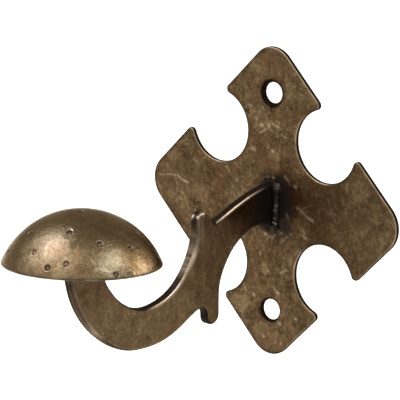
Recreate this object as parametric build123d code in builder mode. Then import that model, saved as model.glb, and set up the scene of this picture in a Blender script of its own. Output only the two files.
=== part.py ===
from build123d import *
import math
import os

# Coat hook: a cross-shaped sheet backplate, a profile-cut flat-bar arm with a thorn
# and a spur, and a pressed cap on the arm's free end. The arm is welded to the plate
# and the cap is welded onto the arm. Millimetres. Origin: centre of the plate's back
# face. -Y points out from the wall, +Z up, +X to the right when facing the wall.

# ---------------------------------------------------------------- driving dimensions
plate_t = 1.2            # sheet thickness of the backplate
plate_half_diag = 48.22  # sharp corner of the square plate, before its tips are rounded
plate_tip_r = 7.77       # rounding of the four tips
notch_r = 10.465         # radius of the four round notches
notch_d = 27.488         # distance of each notch centre from the plate centre
cusp_r = 1.4             # rounding where a notch meets a straight edge
plate_edge_r = 0.35      # rolled edge on the plate's front outline
screw_pitch = 63.6       # distance between the two screw holes
screw_r = 3.0            # screw hole radius
screw_sink_r = 3.9       # radius at the mouth of the hole's 90 degree countersink

arm_t = 2.8              # thickness of the flat bar
arm_edge_r = 0.3         # rounding of the bar's long edges

cap_sphere_r = 23.19     # outer radius of the pressed cap
cap_rim_drop = 8.50      # rim plane above the sphere's centre, along the cap's axis
cap_t = 1.2              # sheet thickness of the cap
cap_rim_r = 0.4          # rounding of the rim
cap_centre = (0.339, -78.552, -10.094)    # sphere centre
cap_axis = (-0.0399, 0.0660, 0.9970)      # the cap sits a few degrees off level
punch_r = 0.75           # radius of the round punch that left the marks
punch_depth = 0.2        # depth of a mark

weld_leg_plate = 1.9     # weld toe on the plate, measured from the bar
weld_leg_arm = 1.1       # weld toe on the bar, measured from the plate
cap_weld_leg = 1.7       # weld inside the cap

y_front = -plate_t       # front face of the plate
cap_inner_r = cap_sphere_r - cap_t

os.makedirs("parts", exist_ok=True)

# ---------------------------------------------------------------- backplate
# A square set on its corner, tips rounded, with a round notch bitten out of the
# middle of each side, stamped from flat sheet, with two countersunk screw holes.
q = notch_d / math.sqrt(2)
front_face = Plane(origin=(0, y_front, 0), x_dir=(1, 0, 0), z_dir=(0, -1, 0))

with BuildPart() as backplate:
    with BuildSketch(Plane.XZ) as plate_outline:
        with BuildLine():
            Polyline(
                (plate_half_diag, 0), (0, plate_half_diag),
                (-plate_half_diag, 0), (0, -plate_half_diag), close=True,
            )
        make_face()
        fillet(plate_outline.vertices(), radius=plate_tip_r)
        with Locations((q, q), (-q, q), (-q, -q), (q, -q)):
            Circle(notch_r, mode=Mode.SUBTRACT)
        cusps = [
            v for v in plate_outline.vertices()
            if min(
                math.hypot(v.X - sx * q, v.Z - sz * q)
                for sx in (1, -1) for sz in (1, -1)
            ) < notch_r + 0.05
        ]
        fillet(cusps, radius=cusp_r)
    extrude(amount=plate_t)
    outline_edges = (
        backplate.edges().group_by(Axis.Y)[0]
    )
    fillet(outline_edges, radius=plate_edge_r)
    with BuildSketch(front_face):
        with Locations((0, screw_pitch / 2), (0, -screw_pitch / 2)):
            Circle(screw_r)
    extrude(amount=-plate_t, mode=Mode.SUBTRACT)
    mouths = [
        e for e in backplate.edges().filter_by(GeomType.CIRCLE)
        if abs(e.radius - screw_r) < 0.01 and abs(e.center().Y - y_front) < 0.01
    ]
    chamfer(mouths, length=screw_sink_r - screw_r)
backplate.part.label = "backplate"
export_step(backplate.part, "parts/backplate.step")

# ---------------------------------------------------------------- hook arm
# Profile in the YZ plane, first number = Y, second = Z.
sy, sz = cap_centre[1], cap_centre[2]
# the bar's end follows the inside of the cap and bears on it along its corners
arm_end_r = math.sqrt(cap_inner_r ** 2 - (arm_t / 2 + abs(cap_centre[0])) ** 2) - 0.01


def on_end(y):
    return (y, sz + math.sqrt(arm_end_r ** 2 - (y - sy) ** 2))


top_root = (y_front, 5.9)
top_edge = [
    (-5.1, 5.62), (-9.15, 4.92), (-12.6, 4.08), (-16.0, 3.05), (-19.4, 1.9), (-22.7, 0.7),
]
top_low = (-24.8, -0.08)
valley = (-26.35, -0.4)
thorn_back_low = (-27.55, 0.5)
thorn_back_high = (-29.55, 2.65)
thorn_crest = (-31.1, 3.38)
thorn_corner = (-33.05, 2.75)
throat = [
    (-33.75, 1.5), (-33.84, -1.6), (-34.5, -4.9), (-35.72, -8.05), (-37.45, -11.0),
    (-39.65, -13.65), (-42.4, -15.92), (-45.85, -17.7), (-49.9, -18.8), (-54.2, -19.05),
    (-58.1, -18.25), (-62.15, -16.35), (-65.55, -13.75), (-68.0, -11.0), (-69.75, -8.45),
    (-70.9, -5.5), (-71.4, -2.4), (-71.5, 0.6),
]
belly = [
    (-83.72, -0.6), (-83.2, -5.9), (-81.65, -11.1), (-79.4, -15.4), (-76.5, -19.35),
    (-71.4, -24.15), (-66.05, -27.65), (-60.2, -29.72), (-54.1, -30.32), (-47.4, -29.92),
    (-41.5, -28.15), (-37.9, -26.45), (-34.7, -24.95),
]
spur_notch_mid = (-31.7, -24.3)
spur_notch_end = (-29.75, -26.3)
spur_centre = (-27.05, -27.2)
spur_r = 2.7
rear = [
    (-24.35, -23.6), (-23.98, -18.7), (-22.75, -15.5), (-21.05, -12.7), (-18.5, -9.75),
    (-15.2, -7.4), (-11.8, -5.88), (-8.6, -5.2), (-5.3, -5.4), (-2.9, -6.2), (y_front, -7.15),
]
top_dir = (-2.1, -0.76)
thorn_dir = (thorn_back_high[0] - thorn_back_low[0], thorn_back_high[1] - thorn_back_low[1])
belly_dir = (0.92, 0.42)

with BuildPart() as hook_arm:
    with BuildSketch(Plane.YZ):
        with BuildLine():
            Spline(top_root, *top_edge, top_low, tangents=[(-1, -0.03), top_dir],
                   tangent_scalars=(1, 1))
            Spline(top_low, valley, thorn_back_low, tangents=[top_dir, thorn_dir],
                   tangent_scalars=(1, 1))
            Line(thorn_back_low, thorn_back_high)
            Spline(thorn_back_high, thorn_crest, thorn_corner, throat[0],
                   tangents=[thorn_dir, (0, -1)],
                   tangent_scalars=(1, 1))
            Spline(*throat, tangents=[(0, -1), (0, 1)],
                   tangent_scalars=(1, 1))
            Line(throat[-1], on_end(throat[-1][0]))
            ThreePointArc(on_end(throat[-1][0]), on_end(sy), on_end(belly[0][0]))
            Line(on_end(belly[0][0]), belly[0])
            Spline(*belly, tangents=[(0, -1), belly_dir],
                   tangent_scalars=(1, 1))
            Spline(belly[-1], spur_notch_mid, spur_notch_end, tangents=[belly_dir, (0, -1)],
                   tangent_scalars=(1, 1))
            Line(spur_notch_end, (spur_notch_end[0], spur_centre[1]))
            ThreePointArc(
                (spur_centre[0] - spur_r, spur_centre[1]),
                (spur_centre[0], spur_centre[1] - spur_r),
                (spur_centre[0] + spur_r, spur_centre[1]),
            )
            Line((spur_centre[0] + spur_r, spur_centre[1]), rear[0])
            Spline(*rear, tangents=[(0, 1), (1, -0.62)],
                   tangent_scalars=(1, 1))
            Line(rear[-1], top_root)
        make_face()
    extrude(amount=arm_t / 2, both=True)
    long_edges = [
        e for e in hook_arm.edges()
        if abs(abs(e.center().X) - arm_t / 2) < 0.01
        and not (abs(e.center().Y - y_front) < 0.01)
        and e.center().Z < 8.0
    ]
    fillet(long_edges, radius=arm_edge_r)
hook_arm.part.label = "hook_arm"
export_step(hook_arm.part, "parts/hook_arm.step")

# ---------------------------------------------------------------- dome cap
# A pressed spherical cap of sheet, open below. Its section is turned about the cap's
# own axis, which leans a few degrees. Shallow punch marks are scattered over it.
ax = Vector(*cap_axis).normalized()
centre = Vector(*cap_centre)
side = ax.cross(Vector(0, 1, 0)).normalized()
section_plane = Plane(origin=centre, x_dir=side, z_dir=side.cross(ax))
rim_out = math.sqrt(cap_sphere_r ** 2 - cap_rim_drop ** 2)
rim_in = math.sqrt(cap_inner_r ** 2 - cap_rim_drop ** 2)
mid_out = (cap_sphere_r * math.sin(math.radians(34)), cap_sphere_r * math.cos(math.radians(34)))
mid_in = (cap_inner_r * math.sin(math.radians(34)), cap_inner_r * math.cos(math.radians(34)))

# punch marks: azimuth about the cap's axis from +X towards +Y, and angle down from the crown
punch_marks = [
    (-89, 51.7), (-72, 60.8), (-58, 57.2), (-61, 32.8), (-58, 4.3), (-29, 42.3),
    (0, 48.2), (-21, 64.8), (29, 40.9), (58, 60.0), (83, 35.0), (112, 56.0),
    (141, 39.0), (168, 61.0), (-158, 34.0), (-127, 58.0), (-112, 40.0),
]
lat0 = Vector(1, 0, 0)
lat0 = (lat0 - ax * lat0.dot(ax)).normalized()
lat1 = ax.cross(lat0)


def mark_plane(az, polar):
    a, p = math.radians(az), math.radians(polar)
    d = lat0 * (math.sin(p) * math.cos(a)) + lat1 * (math.sin(p) * math.sin(a)) + ax * math.cos(p)
    return Plane(origin=centre + d * (cap_sphere_r - punch_depth), z_dir=d)


with BuildPart() as dome_cap:
    with BuildSketch(section_plane) as cap_section:
        with BuildLine():
            ThreePointArc((0, cap_sphere_r), mid_out, (rim_out, cap_rim_drop))
            Line((rim_out, cap_rim_drop), (rim_in, cap_rim_drop))
            ThreePointArc((rim_in, cap_rim_drop), mid_in, (0, cap_inner_r))
            Line((0, cap_inner_r), (0, cap_sphere_r))
        make_face()
    revolve(axis=Axis((centre.X, centre.Y, centre.Z), (ax.X, ax.Y, ax.Z)), revolution_arc=360)
    rim_edges = [
        e for e in dome_cap.edges().filter_by(GeomType.CIRCLE)
        if abs(e.radius - rim_out) < 0.02 or abs(e.radius - rim_in) < 0.02
    ]
    fillet(rim_edges, radius=cap_rim_r)
    with Locations(*[mark_plane(a, p) for a, p in punch_marks]):
        Cylinder(
            punch_r, 1.0, align=(Align.CENTER, Align.CENTER, Align.MIN), mode=Mode.SUBTRACT
        )
dome_cap.part.label = "dome_cap"
export_step(dome_cap.part, "parts/dome_cap.step")

# ---------------------------------------------------------------- weld around the arm's root
weld_h = top_root[1] - rear[-1][1]
weld_z = (top_root[1] + rear[-1][1]) / 2
with BuildPart() as plate_weld:
    with BuildSketch(front_face):
        with Locations((0, weld_z)):
            RectangleRounded(arm_t + 2 * weld_leg_plate, weld_h + 2 * weld_leg_plate,
                             weld_leg_plate + 0.2)
    with BuildSketch(front_face.offset(weld_leg_arm)):
        with Locations((0, weld_z)):
            RectangleRounded(arm_t + 0.9, weld_h + 0.9, 0.6)
    loft()
    bead_crest = plate_weld.faces().sort_by(Axis.Y)[0].edges()
    fillet(bead_crest, radius=0.3)
    add(hook_arm.part, mode=Mode.SUBTRACT)
plate_weld.part.label = "plate_weld"
export_step(plate_weld.part, "parts/plate_weld.step")

# ---------------------------------------------------------------- weld inside the cap
shank_mid = (throat[-1][0] + belly[0][0]) / 2
shank_w = throat[-1][0] - belly[0][0]
with BuildPart() as cap_weld:
    with BuildSketch(Plane.XY.offset(13)):
        with Locations((0, shank_mid)):
            RectangleRounded(arm_t + 2 * cap_weld_leg + 1.4, shank_w + 2 * cap_weld_leg + 1.4, 1.6)
    with BuildSketch(Plane.XY.offset(8.2)):
        with Locations((0, shank_mid)):
            RectangleRounded(arm_t + 0.6, shank_w + 0.6, 0.5)
    loft()
    with Locations(tuple(centre)):
        Sphere(cap_inner_r, mode=Mode.INTERSECT)
        Sphere(cap_inner_r - cap_weld_leg, mode=Mode.SUBTRACT)
    add(hook_arm.part, mode=Mode.SUBTRACT)
cap_weld.part.label = "cap_weld"
export_step(cap_weld.part, "parts/cap_weld.step")
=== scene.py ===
import math

import bmesh
import bpy
import numpy as np
from mathutils import Matrix, Vector, geometry, kdtree


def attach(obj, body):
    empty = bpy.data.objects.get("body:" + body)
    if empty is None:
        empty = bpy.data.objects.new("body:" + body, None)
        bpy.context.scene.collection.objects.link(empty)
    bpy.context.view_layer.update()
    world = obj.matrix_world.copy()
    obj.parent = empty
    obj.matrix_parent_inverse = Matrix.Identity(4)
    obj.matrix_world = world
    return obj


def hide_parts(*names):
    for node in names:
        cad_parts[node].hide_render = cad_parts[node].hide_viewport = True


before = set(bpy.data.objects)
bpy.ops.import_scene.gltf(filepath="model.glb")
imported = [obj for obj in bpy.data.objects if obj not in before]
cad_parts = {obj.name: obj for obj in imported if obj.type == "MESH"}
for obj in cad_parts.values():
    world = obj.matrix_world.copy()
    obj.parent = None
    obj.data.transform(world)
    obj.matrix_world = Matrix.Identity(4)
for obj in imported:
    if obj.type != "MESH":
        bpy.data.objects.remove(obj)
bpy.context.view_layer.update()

# A coat hook: sheet backplate, flat-bar arm, pressed cap, two welds. Built in millimetres
# in the row frame, then scaled to metres when a mesh is made.

# ------------------------------------------------------------------ numbers of the object
PLATE_T = 1.2
HALF_DIAG = 48.22
TIP_R = 7.77
NOTCH_R = 10.465
NOTCH_D = 27.488
CUSP_R = 1.4
SCREW_Z = 31.8
SCREW_R = 3.0
SINK_R = 3.9
ARM_HALF = 1.4
CAP_R = 23.19
CAP_T = 1.2
CAP_DROP = 8.50
CAP_CENTRE = np.array([0.339, -78.552, -10.094])
CAP_AXIS = np.array([-0.0399, 0.0660, 0.9970])
CAP_AXIS = CAP_AXIS / np.linalg.norm(CAP_AXIS)


# ------------------------------------------------------------------ noise on arrays
def lattice(ix, iy, iz, seed):
    h = (ix * 374761393 + iy * 668265263 + iz * 1442695041 + seed * 1274126177) & 0xFFFFFFFF
    h = ((h ^ (h >> 13)) * 1274126177) & 0xFFFFFFFF
    h = ((h ^ (h >> 15)) * 2246822519) & 0xFFFFFFFF
    h = h ^ (h >> 16)
    return (h & 0xFFFFFF) / float(0xFFFFFF)


def vnoise(p, size, seed):
    """Smooth value noise from -1 to 1, with features about size mm across."""
    q = np.asarray(p, float) / size + 1000.0
    i = np.floor(q).astype(np.int64)
    f = q - i
    f = f * f * f * (f * (f * 6 - 15) + 10)
    out = np.zeros(len(q))
    for dx in (0, 1):
        wx = f[:, 0] if dx else 1 - f[:, 0]
        for dy in (0, 1):
            wy = f[:, 1] if dy else 1 - f[:, 1]
            for dz in (0, 1):
                wz = f[:, 2] if dz else 1 - f[:, 2]
                out += wx * wy * wz * lattice(i[:, 0] + dx, i[:, 1] + dy, i[:, 2] + dz, seed)
    return out * 2 - 1


def fbm(p, size, seed, octaves=3, gain=0.5):
    total, amp, norm = 0.0, 1.0, 0.0
    for k in range(octaves):
        total = total + amp * vnoise(p, size / 2 ** k, seed + 17 * k)
        norm += amp
        amp *= gain
    return total / norm


def step01(x, a, b):
    t = np.clip((x - a) / (b - a), 0, 1)
    return t * t * (3 - 2 * t)


# ------------------------------------------------------------------ flat outlines
def arc(cx, cy, r, a0, a1, step):
    n = max(2, int(abs(a1 - a0) * r / step) + 1)
    return [(cx + r * math.cos(a0 + (a1 - a0) * k / n), cy + r * math.sin(a0 + (a1 - a0) * k / n)) for k in range(n)]


def plate_outline(step):
    """Outline of the cross plate in the wall plane (x, z), clockwise from the top tip."""
    s2 = math.sqrt(2)
    line_n = HALF_DIAG / s2
    tip_c = HALF_DIAG - TIP_R * s2
    cn = line_n - CUSP_R
    ct = math.sqrt((NOTCH_R + CUSP_R) ** 2 - (cn - NOTCH_D) ** 2)
    a = math.atan2(ct, NOTCH_D - cn)                    # cusp centre to notch centre, in (n, t)
    quarter = [("xz", p) for p in arc(0, tip_c, TIP_R, math.radians(90), math.radians(45), step)]
    t0 = -tip_c / s2
    n = int((abs(t0) - ct) / step)
    quarter += [("nt", (line_n, t0 + (-ct - t0) * k / n)) for k in range(n)]
    quarter += [("nt", p) for p in arc(cn, -ct, CUSP_R, 0, a, step * 0.6)]
    quarter += [("nt", p) for p in arc(NOTCH_D, 0, NOTCH_R, a - math.pi, -a - math.pi, step)]
    quarter += [("nt", p) for p in arc(cn, ct, CUSP_R, -a, 0, step * 0.6)]
    quarter += [("nt", (line_n, ct + (-t0 - ct) * k / n)) for k in range(n)]
    quarter += [("xz", p) for p in arc(tip_c, 0, TIP_R, math.radians(45), 0, step)]
    base = []
    for kind, (u, v) in quarter:
        base.append((u, v) if kind == "xz" else ((u + v) / s2, (u - v) / s2))
    loop = []
    for k in range(4):
        for x, z in base:
            for _ in range(k):
                x, z = z, -x
            loop.append((x, z))
    return np.array(loop)


def resample(loop, step):
    closed = np.vstack([loop, loop[:1]])
    seg = np.hypot(*np.diff(closed, axis=0).T)
    s = np.concatenate([[0], np.cumsum(seg)])
    n = int(s[-1] / step)
    t = np.linspace(0, s[-1], n, endpoint=False)
    return np.stack([np.interp(t, s, closed[:, 0]), np.interp(t, s, closed[:, 1])], 1)


def smooth_loop(loop, times=1, w=0.25):
    for _ in range(times):
        loop = loop * (1 - 2 * w) + w * (np.roll(loop, 1, 0) + np.roll(loop, -1, 0))
    return loop


def inward(loop, hole=False):
    """Unit vectors that point into the material, one for each point of a closed loop."""
    d = np.roll(loop, -1, 0) - np.roll(loop, 1, 0)
    d /= np.hypot(d[:, 0], d[:, 1])[:, None]
    n = np.stack([-d[:, 1], d[:, 0]], 1)
    nxt = np.roll(loop, -1, 0)
    area = 0.5 * np.sum(loop[:, 0] * nxt[:, 1] - nxt[:, 0] * loop[:, 1])
    if area < 0:
        n = -n
    return -n if hole else n


def inside(pts, loop):
    res = np.zeros(len(pts), bool)
    x, y = pts[:, 0], pts[:, 1]
    a, b = loop, np.roll(loop, -1, 0)
    for s in range(0, len(pts), 8000):
        xs, ys = x[s:s + 8000, None], y[s:s + 8000, None]
        cross = (a[None, :, 1] > ys) != (b[None, :, 1] > ys)
        with np.errstate(divide="ignore", invalid="ignore"):
            xi = (b[None, :, 0] - a[None, :, 0]) * (ys - a[None, :, 1]) / (b[None, :, 1] - a[None, :, 1]) + a[None, :, 0]
        res[s:s + 8000] = (np.sum(cross & (xs < xi), 1) % 2) == 1
    return res


def fill(loops, h, dense=()):
    """Even triangles between an outer loop and its holes. dense is a list of (centre, radius, spacing).
    Returns points and triangles; the loops' own points come first, in order."""
    lo, hi = loops[0].min(0), loops[0].max(0)
    rows = np.arange(lo[1], hi[1] + h, h * math.sqrt(3) / 2)
    grid = np.concatenate([np.stack([np.arange(lo[0] + (h / 2 if k % 2 else 0), hi[0] + h, h), np.full(len(np.arange(lo[0] + (h / 2 if k % 2 else 0), hi[0] + h, h)), r)], 1) for k, r in enumerate(rows)])
    for c, r, g in dense:
        grid = grid[np.hypot(grid[:, 0] - c[0], grid[:, 1] - c[1]) > r]
    for c, r, g in dense:
        rr = np.arange(-r, r + g, g * math.sqrt(3) / 2)
        extra = np.concatenate([np.stack([np.arange(-r + (g / 2 if k % 2 else 0), r + g, g), np.full(len(np.arange(-r + (g / 2 if k % 2 else 0), r + g, g)), y)], 1) for k, y in enumerate(rr)])
        extra = extra[np.hypot(extra[:, 0], extra[:, 1]) < r - 0.4 * g] + np.array(c)
        grid = np.concatenate([grid, extra])
    keep = inside(grid, loops[0])
    for l in loops[1:]:
        keep &= ~inside(grid, l)
    grid = grid[keep]
    rim = np.concatenate(loops)
    tree = kdtree.KDTree(len(rim))
    for k, p in enumerate(rim):
        tree.insert((p[0], p[1], 0), k)
    tree.balance()
    near = np.array([tree.find((p[0], p[1], 0))[2] for p in grid])
    grid = grid[near > 0.55 * h]
    pts = np.concatenate([rim, grid])
    edges, start = [], 0
    for l in loops:
        edges += [(start + k, start + (k + 1) % len(l)) for k in range(len(l))]
        start += len(l)
    v, e, f, ov, oe, of_ = geometry.delaunay_2d_cdt([Vector((float(p[0]), float(p[1]))) for p in pts], edges, [], 0, 1e-7)
    v = np.array([(p.x, p.y) for p in v])
    f = np.array([t for t in f if len(t) == 3])
    mid = v[f].mean(1)
    ok = inside(mid, loops[0])
    for l in loops[1:]:
        ok &= ~inside(mid, l)
    f = f[ok]
    order = np.full(len(pts), -1)
    for k, src in enumerate(ov):
        for s in src:
            order[s] = k
    back = np.full(len(v), -1)
    back[order[order >= 0]] = np.nonzero(order >= 0)[0]
    f = back[f]
    f = f[(f >= 0).all(1)]
    return pts, f


def slab(loops, rings, h_front, h_back, dense=()):
    """A solid sheet. loops: outer first, then holes. rings: for each loop, a list of (inset, depth)
    from the front face to the back face. Returns (u, v, depth) points, faces and the index of the front
    face's points."""
    normals = [inward(l, hole=k > 0) for k, l in enumerate(loops)]
    front = [l + n * r[0][0] for l, n, r in zip(loops, normals, rings)]
    back = [l + n * r[-1][0] for l, n, r in zip(loops, normals, rings)]
    pf, ff = fill(front, h_front, dense)
    pb, fb = fill(back, h_back)
    pts = [np.column_stack([pf, np.full(len(pf), rings[0][0][1])])]
    faces = [ff]
    offset_back = len(pf)
    pts.append(np.column_stack([pb, np.full(len(pb), rings[0][-1][1])]))
    fb = fb[:, ::-1] + offset_back
    faces.append(fb)
    nxt = offset_back + len(pb)
    sf, sb = 0, offset_back
    for l, n, r in zip(loops, normals, rings):
        m = len(l)
        prev = np.arange(sf, sf + m)
        for k, (inset, depth) in enumerate(r[1:], 1):
            if k == len(r) - 1:
                cur = np.arange(sb, sb + m)
            else:
                pts.append(np.column_stack([l + n * inset, np.full(m, depth)]))
                cur = np.arange(nxt, nxt + m)
                nxt += m
            a, b = prev, np.roll(prev, -1)
            c, d = np.roll(cur, -1), cur
            faces.append(np.column_stack([a, b, c]))
            faces.append(np.column_stack([a, c, d]))
            prev = cur
        sf += m
        sb += m
    return np.concatenate(pts), np.concatenate(faces), len(pf)


# ------------------------------------------------------------------ meshes
def make(name, co, faces, material, outward=True):
    me = bpy.data.meshes.new(name)
    me.from_pydata((np.asarray(co) * 0.001).tolist(), [], np.asarray(faces).tolist())
    me.validate()
    bm = bmesh.new()
    bm.from_mesh(me)
    bmesh.ops.recalc_face_normals(bm, faces=bm.faces)
    bm.to_mesh(me)
    bm.free()
    for p in me.polygons:
        p.use_smooth = True
    me.materials.append(material)
    me.update()
    ob = bpy.data.objects.new(name, me)
    bpy.context.scene.collection.objects.link(ob)
    return ob


def read(ob):
    me = ob.data
    co = np.zeros(len(me.vertices) * 3, np.float64)
    me.vertices.foreach_get("co", co)
    no = np.zeros(len(me.vertices) * 3, np.float64)
    me.vertices.foreach_get("normal", no)
    return co.reshape(-1, 3) * 1000, no.reshape(-1, 3)


def write(ob, co):
    ob.data.vertices.foreach_set("co", (co * 0.001).astype(np.float32).ravel())
    ob.data.update()


def attribute(ob, name, values):
    at = ob.data.attributes.get(name) or ob.data.attributes.new(name, "FLOAT", "POINT")
    at.data.foreach_set("value", np.asarray(values, np.float32))


def segment_distance(p, a, b):
    a, b = np.array(a, float), np.array(b, float)
    d = b - a
    t = np.clip(((p - a) @ d) / max(d @ d, 1e-9), 0, 1)
    return np.linalg.norm(p - (a + t[:, None] * d), axis=1), t


# ------------------------------------------------------------------ material
class Tree:
    def __init__(self, name):
        self.mat = bpy.data.materials.new(name)
        self.mat.use_nodes = True
        self.nt = self.mat.node_tree
        self.nt.nodes.clear()
        self.out = self.nt.nodes.new("ShaderNodeOutputMaterial")
        self.bsdf = self.nt.nodes.new("ShaderNodeBsdfPrincipled")
        self.nt.links.new(self.bsdf.outputs["BSDF"], self.out.inputs["Surface"])
        co = self.nt.nodes.new("ShaderNodeTexCoord")
        self.pos = self.node("ShaderNodeVectorMath", operation="SCALE", ins={0: co.outputs["Object"], "Scale": 1000.0}).outputs[0]

    def node(self, kind, ins=None, **props):
        n = self.nt.nodes.new(kind)
        for k, v in props.items():
            setattr(n, k, v)
        for k, v in (ins or {}).items():
            if isinstance(v, bpy.types.NodeSocket):
                self.nt.links.new(v, n.inputs[k])
            else:
                n.inputs[k].default_value = v
        return n

    def noise(self, scale, detail=3.0, rough=0.55, distort=0.0, vec=None, kind="FBM"):
        n = self.node("ShaderNodeTexNoise", noise_dimensions="3D", ins={"Vector": vec or self.pos, "Scale": scale, "Detail": detail, "Roughness": rough, "Distortion": distort})
        return n.outputs["Fac"]

    def maprange(self, v, a, b, c=0.0, d=1.0, smooth=True):
        return self.node("ShaderNodeMapRange", interpolation_type="SMOOTHSTEP" if smooth else "LINEAR",
                         ins={"Value": v, "From Min": a, "From Max": b, "To Min": c, "To Max": d}).outputs["Result"]

    def math(self, op, a, b=0.0, clamp=False):
        return self.node("ShaderNodeMath", operation=op, use_clamp=clamp, ins={0: a, 1: b}).outputs[0]

    def mix(self, f, a, b, mode="MIX"):
        n = self.node("ShaderNodeMix", data_type="RGBA", blend_type=mode)
        for k, v in ((0, f), (6, a), (7, b)):
            if isinstance(v, bpy.types.NodeSocket):
                self.nt.links.new(v, n.inputs[k])
            else:
                n.inputs[k].default_value = v if k == 0 else (*v, 1.0)
        return n.outputs[2]

    def attr(self, name):
        return self.node("ShaderNodeAttribute", attribute_type="GEOMETRY", attribute_name=name).outputs["Fac"]

    def set(self, socket, v):
        if isinstance(v, bpy.types.NodeSocket):
            self.nt.links.new(v, self.bsdf.inputs[socket])
        else:
            self.bsdf.inputs[socket].default_value = v

    def bump(self, pairs):
        last = None
        for height, dist, strength in pairs:
            ins = {"Height": height, "Distance": dist, "Strength": strength}
            if last is not None:
                ins["Normal"] = last
            last = self.node("ShaderNodeBump", ins=ins).outputs[0]
        self.set("Normal", last)


def brass(name, dark, mid, light, red, bright, rough, metal, speck=1.0, grain=1.0, bump=1.0, patch=0.5, seed=0.0,
          coat=0.5, coat_rough=0.3, contrast=1.0, heat=(0.42, 0.33, 0.28), hairs=0.22):
    """Antique brass under a thin lacquer: brown oxide in patches over dull metal, fine mottling, pale specks, pale bare
    metal for worn edges and scuffs and for painted highlights and glints, heat tint (scorch), soot, and near black for
    dirt and for painted shade, each where its attribute says so."""
    t = Tree(name)
    shift = t.node("ShaderNodeVectorMath", operation="ADD", ins={0: t.pos, 1: (seed * 13.1, seed * 7.7, seed * 3.3)}).outputs[0]
    other = t.node("ShaderNodeVectorMath", operation="ADD", ins={0: shift, 1: (31.0, 5.0, 17.0)}).outputs[0]
    broad = t.noise(0.075, 3.0, 0.55, 0.4, shift)
    cloud = t.noise(0.24, 4.0, 0.62, 0.8, shift)
    mottle = t.noise(0.80, 4.0, 0.66, 0.6, shift)
    grainy = t.noise(2.1, 3.0, 0.65, 0.2, shift)
    redness = t.noise(0.15, 4.0, 0.6, 1.0, other)
    tone = t.math("ADD", t.math("MULTIPLY", mottle, 0.42), t.math("ADD", t.math("MULTIPLY", cloud, patch), t.math("MULTIPLY", grainy, 0.34 * grain)))
    tone = t.math("ADD", tone, t.math("MULTIPLY", broad, 0.22))
    full = 0.42 + patch + 0.34 * grain + 0.22
    half = 0.135 / contrast
    col = t.mix(t.maprange(tone, full * (0.5 - half), full * 0.5), dark, mid)
    col = t.mix(t.maprange(tone, full * 0.5, full * (0.5 + half)), col, light)
    col = t.mix(t.math("MULTIPLY", t.maprange(redness, 0.48, 0.66), 0.6), col, red)
    # pale specks, in loose clusters
    vor = t.node("ShaderNodeTexVoronoi", feature="F1", ins={"Vector": shift, "Scale": 1.0, "Randomness": 1.0}).outputs["Distance"]
    cluster = t.maprange(t.noise(0.13, 2.0, 0.5, 0.5, t.node("ShaderNodeVectorMath", operation="ADD", ins={0: shift, 1: (3.0, 41.0, 9.0)}).outputs[0]), 0.44, 0.64)
    sp = t.math("MULTIPLY", t.math("MULTIPLY", t.maprange(vor, 0.34, 0.10), cluster), t.maprange(grainy, 0.42, 0.58))
    sp = t.math("MULTIPLY", sp, 0.45 * speck)
    # hair scratches: long thin streaks where a stretched noise passes a level
    hair = 0.0
    for k, (rx, ry, rz) in enumerate(((20, 35, 60), (-50, -28, 10), (75, 80, -35))):
        m = t.node("ShaderNodeMapping", vector_type="TEXTURE", ins={"Vector": other, "Rotation": (math.radians(rx), math.radians(ry), math.radians(rz)),
                                                                  "Scale": (9.0, 0.55, 0.55), "Location": (5.0 * k, 3.0, -7.0 * k)})
        n = t.noise(1.0, 2.0, 0.5, 0.0, m.outputs[0])
        h = t.maprange(n, 0.66, 0.72)
        hair = h if k == 0 else t.math("MAXIMUM", hair, h)
    hair = t.math("MULTIPLY", hair, hairs)
    # pale bare metal for worn edges and scuffs, and for painted highlights and glints
    wear_and_highlight = t.attr("wear_and_highlight")
    wear_and_highlight_mix = t.math("MULTIPLY", wear_and_highlight, t.maprange(t.math("ADD", t.math("MULTIPLY", grainy, 0.5), t.math("MULTIPLY", mottle, 0.5)), 0.30, 0.62, 0.62, 1.0), clamp=True)
    col = t.mix(t.math("MAXIMUM", sp, hair), col, bright)
    heatf = t.math("MULTIPLY", t.attr("scorch"), t.maprange(cloud, 0.25, 0.75, 1.12, 0.80), clamp=True)
    col = t.mix(heatf, col, t.mix(1.0, col, heat, mode="MULTIPLY"))
    col = t.mix(wear_and_highlight_mix, col, bright)
    # near black for dirt, and for painted shade on walls, in hollows and on edges turned from the lamps
    dirt_and_painted_shade = t.math("MULTIPLY", t.attr("dirt_and_painted_shade"), t.maprange(mottle, 0.25, 0.6, 1.0, 0.93), clamp=True)
    col = t.mix(dirt_and_painted_shade, col, (0.0046, 0.0032, 0.0023))
    sootf = t.math("MULTIPLY", t.attr("soot"), t.maprange(t.math("ADD", t.math("MULTIPLY", cloud, 0.35), t.math("MULTIPLY", mottle, 0.65)), 0.30, 0.62, 1.0, 0.72), clamp=True)
    col = t.mix(sootf, col, (0.0098, 0.0088, 0.0086))
    t.set("Base Color", col)
    r = t.math("ADD", t.maprange(tone, full * 0.36, full * 0.66, rough + 0.09, rough - 0.07, smooth=False), t.math("MULTIPLY", sootf, 0.18))
    r = t.math("SUBTRACT", r, t.math("MULTIPLY", wear_and_highlight_mix, 0.15))
    t.set("Roughness", t.math("ADD", r, t.math("MULTIPLY", dirt_and_painted_shade, 0.34), clamp=True))
    t.set("Metallic", t.math("SUBTRACT", metal, t.math("MULTIPLY", sootf, 0.03)))
    t.bsdf.inputs["Coat Weight"].default_value = coat
    t.bsdf.inputs["Coat Roughness"].default_value = coat_rough
    t.bsdf.inputs["Specular Tint"].default_value = (1.0, 0.84, 0.62, 1.0)
    t.bump([(cloud, 0.00014 * bump, 0.5), (mottle, 0.00007 * bump, 0.6), (grainy, 0.000028 * bump, 0.7)])
    return t.mat


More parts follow.
